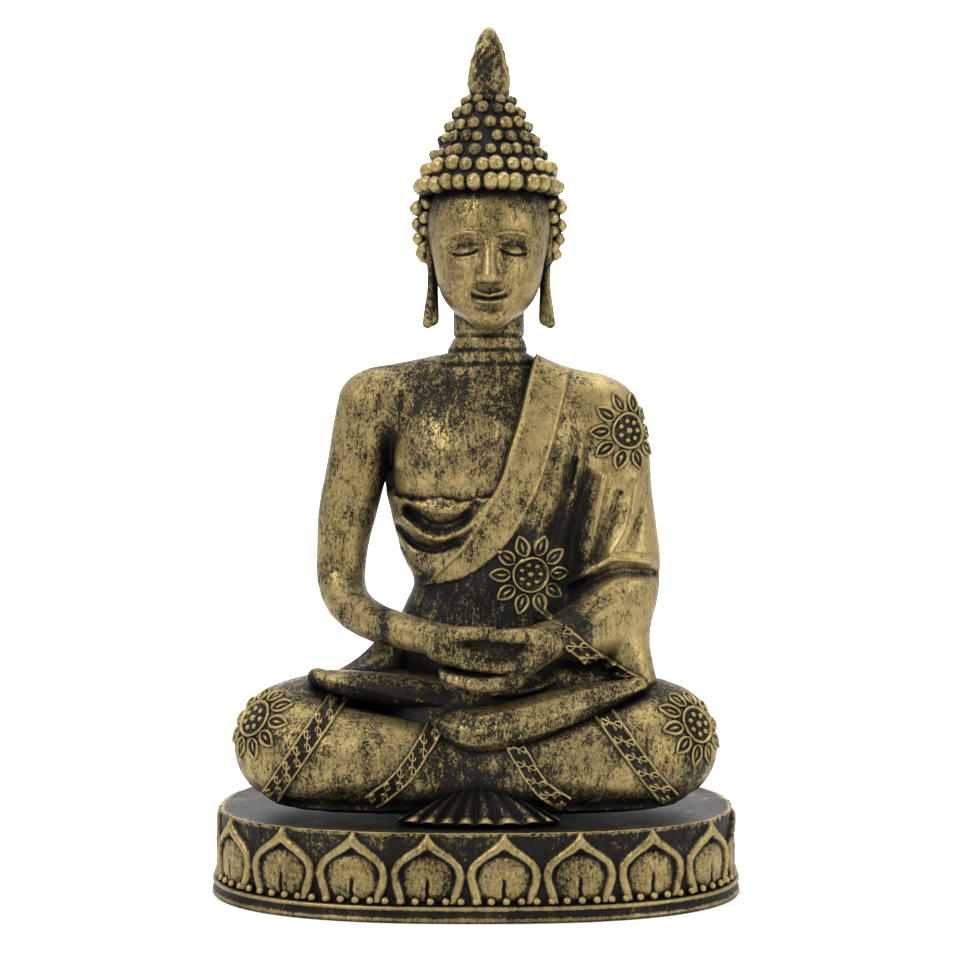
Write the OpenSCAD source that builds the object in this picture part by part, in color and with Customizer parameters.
// Seated meditation figure on an oval lotus plinth, each mass of the casting as a solid of its own.
// Millimetres, +Z up, the figure faces -Y, the origin is the middle of the underside.

/* [Overall] */
// Height from the felt to the tip of the finial
total_h = 200; // [190:1:210]

/* [Plinth] */
// Width of the plinth's wall
plinth_w = 118.5; // [116:0.5:121]
// Depth of the plinth's wall
plinth_d = 73; // [70:1:78]
// Height of the plinth's top above the table
plinth_h = 19.5; // [18:0.5:21]
// How far the foot moulding stands out from the wall
foot_out = 2.2; // [1.9:0.1:2.8]
// Height of the foot moulding
foot_h = 3.5; // [3:0.25:4]
// Number of lotus petals round the wall
petal_count = 19; // [17:1:20]
// Number of beads in the string
bead_count = 96; // [84:4:104]
// Radius of a bead
bead_r = 1; // [0.8:0.05:1.1]

/* [Figure] */
// Sideways offset of the trunk and head from the plinth's middle
trunk_x = 3; // [0:0.5:4]
// Distance from the middle to a knee's centre
knee_x = 42.5; // [41:0.5:44]
// Radius of a knee
knee_r = 13.8; // [13:0.2:14.4]
// Thickness of the outer robe
robe_t = 1.6; // [1.2:0.1:2]
// How far an ornament stands proud of the cloth
relief_t = 1; // [0.8:0.1:1.2]

/* [Head] */
// Radius of the hair cap under its curls
cap_r = 16.2; // [15.5:0.1:17]
// Radius of a hair curl
curl_r = 1.7; // [1.5:0.1:1.9]

/* [Hidden] */
felt_t = 0.8;
oval_power = 2.5;
oval_steps = 72;
oval_table_steps = 240;
seat_z = plinth_h;
waist_z = 57;
neck_z = 122.5;
skull_z = 155;
skull_r = 14.4;
neck_y = 2.5;
hair_front = 1;
knot_r = 12;
urna_up = 3;
curl_rows = 6;
curl_row_gap = 3.5;
finial_z = 184.4;
head_y = 0;
petal_rows = 6;
petal_cols = 4;
petal_z = foot_h + 2 * bead_r + 0.4;
petal_h = plinth_h - petal_z - 0.5;
petal_phase = 0.615;
petal_gap = 0.05;
petal_t = 1.3;
flower_petals = 10;
flower_eye_r = 4;
flower_r = 10.2;
band_w = 5;
blob_fn = 16;
slice_sides = 24;
finger_fn = 10;
face_fn = 20;
EPS = 0.02;

petal_names = [for (i = [1:petal_count]) str("lotus_petal_", i < 10 ? "0" : "", i)];

gold = [0.62, 0.5, 0.25];
dark_gold = [0.3, 0.25, 0.16];

// ---- Oval plan -------------------------------------------------------------------------

// Superellipse through half sizes a and b at parameter t in degrees
function oval_point(w, d, t) =
    let (c = cos(t), s = sin(t), k = 2 / oval_power)
    [w / 2 * sign(c) * pow(abs(c), k), d / 2 * sign(s) * pow(abs(s), k)];
function oval(w, d, n = oval_steps) = [for (i = [0:n - 1]) oval_point(w, d, 360 * i / n)];

// Running length round the wall against the parameter, so that pieces are evenly spaced
wall_points = oval(plinth_w, plinth_d, oval_table_steps);
function run(i) = i == 0 ? [0] :
    let (before = run(i - 1))
    concat(before, [before[i - 1] + norm(wall_points[i % oval_table_steps] - wall_points[i - 1])]);
wall_run = run(oval_table_steps);
wall_length = wall_run[oval_table_steps];
run_table = [for (i = [0:oval_table_steps]) [wall_run[i], 360 * i / oval_table_steps]];
function turn_at(s) = lookup(s - floor(s / wall_length) * wall_length, run_table);

// Point at run s, out by h from the wall, at height z
function wall_point(s, h, z) =
    let (t = turn_at(s), p = oval_point(plinth_w, plinth_d, t),
         q = oval_point(plinth_w, plinth_d, t + 0.5), r = oval_point(plinth_w, plinth_d, t - 0.5),
         along = (q - r) / norm(q - r))
    [p[0] + along[1] * h, p[1] - along[0] * h, z];

// ---- Shape helpers ---------------------------------------------------------------------

// A closed sheet from two grids of points: outer[i][j] and inner[i][j]
module sheet_solid(outer, inner) {
    rows = len(outer);
    cols = len(outer[0]);
    half = rows * cols;
    function at(i, j) = i * cols + j;
    border = concat(
        [for (j = [0:cols - 2]) at(0, j)],
        [for (i = [0:rows - 2]) at(i, cols - 1)],
        [for (j = [cols - 1:-1:1]) at(rows - 1, j)],
        [for (i = [rows - 1:-1:1]) at(i, 0)]);
    edge = len(border);
    polyhedron(
        points = concat([for (r = outer) each r], [for (r = inner) each r]),
        faces = concat(
            [for (i = [0:rows - 2], j = [0:cols - 2]) each
                [[at(i, j), at(i + 1, j), at(i + 1, j + 1)], [at(i, j), at(i + 1, j + 1), at(i, j + 1)]]],
            [for (i = [0:rows - 2], j = [0:cols - 2]) each
                [[half + at(i, j), half + at(i + 1, j + 1), half + at(i + 1, j)],
                 [half + at(i, j), half + at(i, j + 1), half + at(i + 1, j + 1)]]],
            [for (k = [0:edge - 1]) let (a = border[k], b = border[(k + 1) % edge]) each
                [[a, b, half + b], [a, half + b, half + a]]]));
}

// Ball at [x, y, z] with radii [rx, ry, rz], grown by g
module blob(b, g = 0)
    translate([b[0], b[1], b[2]])
        scale([b[3] + g, b[4] + g, b[5] + g])
            sphere(r = 1, $fn = blob_fn);

// Limb through a list of balls
module limb(balls, g = 0)
    for (i = [0:len(balls) - 2])
        hull() {
            blob(balls[i], g);
            blob(balls[i + 1], g);
        }

// Slice [z, x, y, half width, half depth] of a trunk, grown by g
module slice(s, g)
    translate([s[1], s[2], s[0]])
        linear_extrude(EPS)
            polygon(oval(2 * (s[3] + g), 2 * (s[4] + g), slice_sides));

module trunk(slices, g = 0)
    for (i = [0:len(slices) - 2])
        hull() {
            slice(slices[i], g);
            slice(slices[i + 1], g);
        }

// Slab between two heights, wide enough for the whole figure
module between(z0, z1)
    translate([-100, -100, z0])
        cube([200, 200, z1 - z0]);

// ---- Body forms, each with a growth g for the skins that lie on it -----------------------

torso_slices = [
    [waist_z - 2, trunk_x, 4, 20.5, 13.5],
    [64, trunk_x, 4, 18.8, 12.5],
    [72, trunk_x, 4, 18.6, 12.3],
    [82, trunk_x, 3.5, 20.5, 13],
    [92, trunk_x, 3, 23.2, 14.2],
    [101, trunk_x, 3, 25.2, 14.8],
    [109, trunk_x, 3.5, 28, 13.6],
    [115.5, trunk_x, 4.5, 29, 11.4],
    [120, trunk_x, 5, 23.5, 9.4],
    [neck_z - EPS, trunk_x, 4, 12.5, 8.4]];

right_arm_balls = [
    [trunk_x - 26.2, 5, 111.5, 8.4, 8.4, 8.4],
    [-27.2, 5, 101, 6.8, 7, 6.8],
    [-29.4, 5, 86, 6.3, 6.6, 6.3],
    [-30.7, 4, 70, 6.2, 6.4, 7],
    [-25.5, -5, 63.6, 5.6, 5.6, 5.6],
    [-17, -14.5, 60.6, 5, 5, 5],
    [-8.5, -21.5, 60, 4.4, 4.2, 4.4]];

left_arm_balls = [
    [trunk_x + 26.5, 5, 110.5, 8.6, 8.6, 8.8],
    [31.5, 5, 99, 8.4, 8.8, 8],
    [31.6, 5, 85, 9.4, 9, 8],
    [32.8, 4, 70, 9.6, 8.8, 8],
    [29.5, -6, 63.5, 7.4, 7, 7.2],
    [22, -15, 60.5, 5.8, 5.6, 5.8],
    [17, -20, 60, 4.6, 4.4, 4.6]];

// side is -1 for the figure's right leg and 1 for its left
function leg_balls(side) = [
    [trunk_x + side * 16, 13, 37, 16, 15, 17],
    [side * (knee_x - 14), 2, 35.5, 14, 15, 14],
    [side * knee_x, -7, 34.5, knee_r, knee_r + 0.6, knee_r + 0.7],
    [side * (knee_x - 9), -13, 31.5, 12.5, 12.8, 12.3],
    [side * 16, -16, 30.5, 10, 10.5, 11.2],
    [side * 6, -13, 30, 9, 9, 10]];

lap_balls = [
    [trunk_x - 13, 12, 36, 16, 15, 17],
    [trunk_x + 13, 12, 36, 16, 15, 17],
    [trunk_x, 10, 44, 20.5, 15, 15],
    [trunk_x, -2, 38, 22, 16, 12]];

right_foot_balls = [
    [-4, -17.5, 39, 6, 5.5, 5],
    [8, -20, 41.5, 5.8, 5, 4.4],
    [20, -17.5, 44.5, 5.4, 4.8, 4],
    [30, -13, 47, 4.6, 4, 3.2],
    [36, -10.5, 48.5, 2.6, 2.6, 2.4]];

left_foot_balls = [
    [-8, -10, 46, 6, 6, 4.4],
    [-20, -9, 47.6, 6, 6, 4],
    [-30, -7, 49, 5, 5, 3.4],
    [-35.5, -5, 50.2, 3.6, 3.6, 2.8]];

module torso_form(g = 0) trunk(torso_slices, g);
module right_arm_form(g = 0) limb(right_arm_balls, g);
module left_arm_form(g = 0) limb(left_arm_balls, g);
module leg_form(side, g = 0)
    intersection() {
        limb(leg_balls(side), g);
        between(seat_z, total_h);
    }
module lap_form()
    intersection() {
        limb(lap_balls);
        between(seat_z, waist_z);
    }
module feet_form() {
    limb(right_foot_balls);
    limb(left_foot_balls);
}

// ---- Plinth ------------------------------------------------------------------------------

module felt_pad()
    color("darkolivegreen")
        linear_extrude(felt_t)
            polygon(oval(plinth_w, plinth_d));

module plinth_body()
    color(dark_gold)
        translate([0, 0, felt_t])
            linear_extrude(plinth_h - felt_t)
                polygon(oval(plinth_w, plinth_d));

// Ring that runs round the foot of the wall, flush with the felt beneath
module foot_moulding()
    color(gold)
        linear_extrude(foot_h)
            difference() {
                polygon(oval(plinth_w + 2 * foot_out, plinth_d + 2 * foot_out));
                polygon(oval(plinth_w, plinth_d));
            }

module bead_string()
    color(gold)
        for (i = [0:bead_count - 1])
            translate(wall_point(wall_length * i / bead_count, bead_r, foot_h + bead_r))
                sphere(r = bead_r, $fn = 24);

// Half width of a petal at height share v: full near the foot, drawn in to a point at the tip
function petal_half(v) =
    let (widest = 0.47 * wall_length / petal_count,
         taper = pow(sin(90 + 80 * max(0, v - 0.3) / 0.7), 0.8),
         waist = 0.8 + 0.2 * sin(180 * min(1, v + 0.3)))
    widest * taper * waist;

module lotus_petal(i) {
    middle = wall_length * (i + petal_phase) / petal_count;
    function petal_point(v, u, h) = wall_point(middle + u * petal_half(v), h, petal_z + petal_h * v);
    function dome(u) = petal_t * (0.75 + 0.25 * cos(90 * u));
    outer = [for (r = [0:petal_rows]) [for (c = [0:petal_cols])
        let (v = r / petal_rows, u = 2 * c / petal_cols - 1) petal_point(v, u, dome(u))]];
    inner = [for (r = [0:petal_rows]) [for (c = [0:petal_cols])
        let (v = r / petal_rows, u = 2 * c / petal_cols - 1) petal_point(v, u, petal_gap)]];
    color(gold) sheet_solid(outer, inner);
}

// ---- Legs and lap ------------------------------------------------------------------------

module lap()
    color(dark_gold)
        difference() {
            lap_form();
            leg_form(-1);
            leg_form(1);
        }

module right_leg()
    color(gold)
        leg_form(-1);

module left_leg()
    color(gold)
        difference() {
            leg_form(1);
            leg_form(-1);
        }

module right_foot()
    color(gold)
        difference() {
            limb(right_foot_balls);
            lap_form();
            leg_form(-1);
            leg_form(1);
        }

module left_foot()
    color(gold)
        difference() {
            limb(left_foot_balls);
            limb(right_foot_balls);
            lap_form();
            leg_form(-1);
            leg_form(1);
        }

// Pleated hem that fans out on the plinth between the shins
module skirt_fan() {
    pleats = 9;
    apex = [1, -22, 34];
    steps = 4 * pleats;
    function fan_point(i, k, lift) =
        let (a = -58 + 116 * i / steps, wave = cos(360 * pleats * i / steps), share = k / 4)
        [apex[0] + sin(a) * (2 + 20 * share),
         apex[1] - share * (9.2 + 1.2 * wave) * (0.55 + 0.45 * cos(a)) - lift,
         max(seat_z, apex[2] - share * (apex[2] - seat_z - 0.6) + 0.4 * wave * share)];
    outer = [for (i = [0:steps]) [for (k = [0:4]) fan_point(i, k, 1)]];
    inner = [for (i = [0:steps]) [for (k = [0:4]) fan_point(i, k, -6)]];
    color(gold)
        difference() {
            sheet_solid(outer, inner);
            leg_form(-1);
            leg_form(1);
            lap_form();
        }
}

// ---- Trunk, arms and robe ------------------------------------------------------------------

module torso()
    color(gold)
        intersection() {
            torso_form();
            between(waist_z, total_h);
        }

module right_arm()
    color(gold)
        difference() {
            right_arm_form();
            torso_form();
            feet_form();
        }

// Front outline of the cloth that crosses from the left shoulder to the right waist
module shawl_region()
    translate([0, 100, 0])
        rotate([90, 0, 0])
            linear_extrude(200)
                polygon([[10, 126], [8, 112], [1, 96], [-8, 80], [-15, 74], [-22, 72],
                    [-22, 55], [60, 55], [60, 126]]);

module shawl()
    color(gold)
        difference() {
            intersection() {
                torso_form(robe_t);
                shawl_region();
                between(waist_z, neck_z - 1);
            }
            torso_form();
            right_arm_form();
            neck_form(0.1);
        }

// Slanting strip from the left side of the neck to the right side of the waist
module sash_region()
    rotate([90, 0, 0])
        linear_extrude(60)
            polygon([[12.5, 121.8], [20.5, 121.8], [18.5, 108], [14, 92], [6.5, 80], [0, 72],
                [-10, 70], [-5, 76.5], [2, 86], [6.5, 97], [9.8, 109]]);

module sash()
    color(gold)
        difference() {
            intersection() {
                torso_form(robe_t + relief_t);
                sash_region();
            }
            torso_form(robe_t);
            right_arm_form();
            neck_form(0.1);
        }

module under_robe()
    color(dark_gold)
        difference() {
            intersection() {
                torso_form(robe_t * 0.8);
                between(waist_z, 92);
            }
            shawl_region();
            torso_form();
            right_arm_form();
        }

module left_sleeve()
    color(gold)
        difference() {
            union() {
                left_arm_form();
                hull() {
                    blob([32, 3, 66, 8, 8, 6]);
                    blob([29.5, -4, 55, 6, 8, 5]);
                }
            }
            torso_form(robe_t);
            leg_form(1);
            lap_form();
            left_hand_form();
        }

// Four fingers side by side, from [x, y, z] at the knuckles to the tips, with the thumb across the top
module finger(from, to, r)
    hull() {
        translate(from)
            sphere(r = r, $fn = finger_fn);
        translate(to)
            sphere(r = r * 0.8, $fn = finger_fn);
    }

module fingers(from, to, thumb_from, thumb_to, r) {
    for (k = [0:3]) {
        drop = [0, 1.2 * k - 1.8, -0.4 * k];
        finger(from + drop, to + drop, r);
    }
    finger(thumb_from, thumb_to, r);
}

module right_hand_form() {
    hull() {
        blob([-6, -22.5, 58.5, 4.2, 3.6, 3.8]);
        blob([1, -24, 55.5, 4.6, 3.4, 2.6]);
    }
    fingers([1, -24, 55], [12, -23, 55.2], [-4, -24, 61], [4.6, -25, 61.8], 1.7);
}

module left_hand_form() {
    hull() {
        blob([16, -21, 58, 4.4, 3.6, 4]);
        blob([9, -23, 53.2, 4.6, 3.4, 2.6]);
    }
    fingers([8, -23.5, 51.8], [-4, -22.5, 51.6], [14, -23.4, 61], [5.6, -25, 61.8], 1.7);
}

module right_hand()
    color(gold)
        difference() {
            right_hand_form();
            right_arm_form();
            torso_form(robe_t);
            feet_form();
        }

module left_hand()
    color(gold)
        difference() {
            left_hand_form();
            right_hand_form();
            right_arm_form();
            torso_form(robe_t);
            feet_form();
        }

// ---- Head ----------------------------------------------------------------------------------

// Neck with soft folds round it
module neck_form(g = 0)
    translate([trunk_x, neck_y, 0])
        rotate_extrude($fn = 48)
            polygon([[0, neck_z], [9 + g, neck_z], [8.4 + g, 125], [8.8 + g, 126.6], [8 + g, 128.6],
                [8.3 + g, 130.4], [7.6 + g, 132.6], [7.8 + g, 137], [0, 137]]);

module neck() color(gold) neck_form();

// Ball of the skull, as wide as the face at the temples
module skull_form()
    translate([trunk_x, head_y + 1, skull_z])
        sphere(r = skull_r, $fn = 64);

// Face below the skull: an egg that narrows to a rounded chin, with a straight nose
module face_form() {
    hull() {
        translate([trunk_x, head_y - 1.5, skull_z - 3]) sphere(r = 12.6, $fn = face_fn);
        translate([trunk_x, head_y - 3.6, 143.6]) sphere(r = 10.4, $fn = face_fn);
        translate([trunk_x, head_y - 7.4, 139.2]) sphere(r = 5.2, $fn = face_fn);
    }
    hull() {
        translate([trunk_x, head_y - 12.4, 152]) sphere(r = 1.6, $fn = finger_fn);
        translate([trunk_x, head_y - 14.4, 146]) sphere(r = 2, $fn = finger_fn);
    }
}

module head()
    color(gold)
        difference() {
            union() {
                skull_form();
                face_form();
            }
            neck_form();
        }

// Small round mark on the forehead
module urna()
    color(gold)
        translate([trunk_x, head_y + 1 - sqrt(skull_r * skull_r - urna_up * urna_up), skull_z + urna_up])
            rotate([90, 0, 0])
                cylinder(r = 1.1, h = 1, $fn = 32);

// Long ear that hangs beside the jaw, side is -1 for the right one
module ear(side)
    color(gold)
        difference() {
            hull() {
                blob([trunk_x + side * 14.6, head_y + 1, 152, 1.5, 3.3, 3.9]);
                blob([trunk_x + side * 14.8, head_y, 135.5, 1.9, 2.4, 3.9]);
            }
            skull_form();
        }

// Shell of hair over the skull, open over the face
module hair_cap()
    color(dark_gold)
        difference() {
            translate([trunk_x, head_y + 1, skull_z]) sphere(r = cap_r, $fn = 64);
            skull_form();
            translate([trunk_x - 30, head_y - 60, skull_z - 60]) cube([60, 60 + hair_front, 66]);
            translate([trunk_x - 30, head_y - 60, skull_z - 80]) cube([60, 120, 68]);
            translate([trunk_x, head_y, 0]) cylinder(r = knot_r, h = total_h, $fn = 64);
        }

// Bead of hair that stands on the surface at p and points along direction d
module curl(p, d, r)
    translate(p + (r - EPS) * d)
        sphere(r = r, $fn = 24);

// Rings of curls down the shell of hair: the top one is closed, the others leave the face free
module hair_curls()
    color(gold)
        for (row = [0:curl_rows - 1]) {
            rise = 8.3 - curl_row_gap * row;
            flat = sqrt(cap_r * cap_r - rise * rise);
            count = floor(2 * PI * (flat + curl_r) / (2.3 * curl_r));
            for (k = [0:count - 1]) {
                turn = 360 * (k + 0.5 * (row % 2)) / count;
                d = [flat * cos(turn), flat * sin(turn), rise] / cap_r;
                if (row == 0 || cap_r * d[1] > hair_front + curl_r)
                    curl([trunk_x, head_y + 1, skull_z] + cap_r * d, d, curl_r);
            }
        }

// Outline of the mound of hair on the crown: [radius, height]
knot_outline = [[knot_r, 166], [knot_r, 171.5], [11, 174.6], [8.6, 179], [6.2, 183]];

module topknot()
    color(dark_gold)
        difference() {
            translate([trunk_x, head_y, 0])
                rotate_extrude($fn = 64)
                    polygon(concat([[0, 160], [knot_r, 160]], knot_outline, [[4.4, finial_z], [0, finial_z]]));
            skull_form();
        }

// Rows of curls half way up each slope of the mound
module topknot_curls()
    color(gold)
        translate([trunk_x, head_y, 0])
            for (row = [0:len(knot_outline) - 2]) {
                a = knot_outline[row];
                b = knot_outline[row + 1];
                p = (a + b) / 2;
                out = [b[1] - a[1], a[0] - b[0]] / norm(b - a);
                count = floor(2 * PI * (p[0] + 1) / (2.3 * curl_r));
                for (k = [0:count - 1])
                    rotate([0, 0, 360 * (k + 0.5 * (row % 2)) / count])
                        curl([p[0], 0, p[1]], [out[0], 0, out[1]], curl_r * 0.9);
            }

module flame_finial()
    color(gold)
        translate([trunk_x, head_y, finial_z])
            rotate_extrude($fn = 48)
                polygon([[0, 0], [4.1, 0], [4.9, 1.6], [5.2, 3.2], [4.7, 6], [3.8, 8.8], [2.7, 11.6],
                    [1.8, 13.6], [0.9, 15], [0, total_h - finial_z]]);

// ---- Ornaments -----------------------------------------------------------------------------

// Flower outline: a round eye and a ring of pointed petals
module flower() {
    circle(r = flower_eye_r + 0.6, $fn = 32);
    for (k = [0:flower_petals - 1])
        rotate(360 * k / flower_petals)
            polygon([[flower_eye_r, -1.4], [flower_eye_r + 2.4, -1.9], [flower_r, 0],
                [flower_eye_r + 2.4, 1.9], [flower_eye_r, 1.4]]);
}

// Flower prism that looks along direction [azimuth, elevation] from point p
module flower_prism(p, azimuth, elevation)
    translate(p)
        rotate([90 - elevation, 0, azimuth])
            translate([0, 0, -4])
                linear_extrude(24)
                    flower();

// Straight band prism through the cloth from [x0, z0] to [x1, z1], seen from the front
module band_prism(a, b)
    translate([a[0], 0, a[1]])
        rotate([90, atan2(a[1] - b[1], b[0] - a[0]), 0])
            translate([0, -band_w / 2, 0])
                linear_extrude(60)
                    square([norm(b - a), band_w]);

module leg_skin(side)
    difference() {
        leg_form(side, relief_t);
        leg_form(side);
        leg_form(-side, relief_t);
        feet_form();
        lap_form();
    }

module leg_band(side, a, b)
    color(gold)
        intersection() {
            leg_skin(side);
            band_prism(a, b);
        }

module knee_medallion(side)
    color(gold)
        intersection() {
            leg_skin(side);
            flower_prism([side * (knee_x + 1), -10, 39], side * 30, 12);
        }

module belly_medallion()
    color(gold)
        intersection() {
            difference() {
                torso_form(robe_t + relief_t);
                torso_form(robe_t);
            }
            flower_prism([12, -5, 71], 0, 0);
        }

module shoulder_medallion()
    color(gold)
        intersection() {
            difference() {
                left_arm_form(relief_t);
                left_arm_form();
                torso_form(robe_t + relief_t);
            }
            flower_prism([34, 2, 104], 24, 6);
        }

module cuff_band()
    color(gold)
        intersection() {
            difference() {
                left_arm_form(relief_t);
                left_arm_form();
                torso_form(robe_t);
                left_hand_form();
            }
            band_prism([18, 68], [44, 48]);
        }

// ---- Nodes ---------------------------------------------------------------------------------

felt_pad();
plinth_body();
foot_moulding();
bead_string();
for (i = [0:petal_count - 1]) lotus_petal(i);
lap();
right_leg();
left_leg();
right_foot();
left_foot();
skirt_fan();
torso();
right_arm();
right_hand();
left_hand();
left_sleeve();
shawl();
sash();
under_robe();
neck();
head();
urna();
ear(-1);  // right_ear
ear(1);  // left_ear
hair_cap();
hair_curls();
topknot();
topknot_curls();
flame_finial();
shoulder_medallion();
belly_medallion();
knee_medallion(-1);  // right_knee_medallion
knee_medallion(1);  // left_knee_medallion
leg_band(-1, [-48, 22], [-28, 47]);  // right_outer_band
leg_band(-1, [-22, 20], [-6, 44]);  // right_inner_band
leg_band(1, [8, 44], [24, 20]);  // left_inner_band
leg_band(1, [28, 47], [48, 22]);  // left_outer_band
cuff_band();
